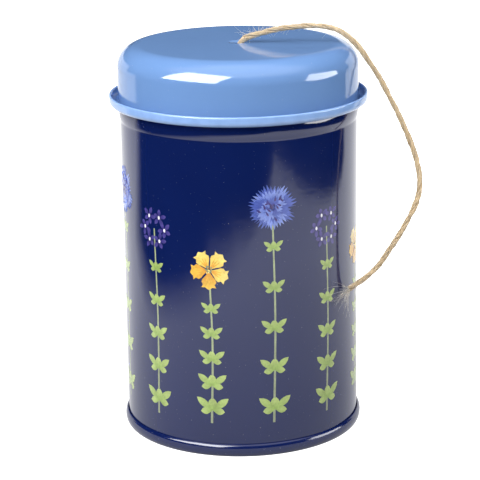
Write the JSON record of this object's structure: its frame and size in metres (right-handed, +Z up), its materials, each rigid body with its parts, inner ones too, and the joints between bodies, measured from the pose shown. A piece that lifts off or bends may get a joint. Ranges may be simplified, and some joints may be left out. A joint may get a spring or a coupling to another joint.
{
  "type": "garden twine tin",
  "caption": "Round slip-lid metal can holding a centre-pull ball of jute twine, whose free end leaves through a hole in the lid.",
  "frame": {"origin": "centre of the base ring, on the plane the can stands on", "axes": "+Z up along the can's axis; the middle of the printed front faces -Y; the free twine hangs on the +X side"},
  "size_m": [0.0909, 0.0756, 0.1205],
  "materials": {
    "wall_lacquer": "gloss lacquer, printed",
    "base_lacquer": "gloss lacquer",
    "lid_lacquer": "gloss lacquer",
    "ball_jute": "natural fibre",
    "lead_jute": "natural fibre"
  },
  "bodies": {
    "tin": {"body_wall": "wall_lacquer", "base_end": "base_lacquer"},
    "ball": {"twine_ball": "ball_jute"},
    "lead": {"twine_lead": "lead_jute"},
    "lid": {"lid": "lid_lacquer"}
  },
  "joints": [
    {"name": "lid_lift", "type": "slide", "parent": "tin", "child": "lead", "axis": [0, 0, 1], "range_m": [0, 0.04]},
    {"name": "lid_turn", "type": "hinge", "parent": "lead", "child": "lid", "pos_m": [0, 0, 0.1], "axis": [0, 0, 1], "continuous": true},
    {"name": "ball_turn", "type": "hinge", "parent": "tin", "child": "ball", "pos_m": [0, 0, 0.0475], "axis": [0, 0, 1], "continuous": true}
  ]
}
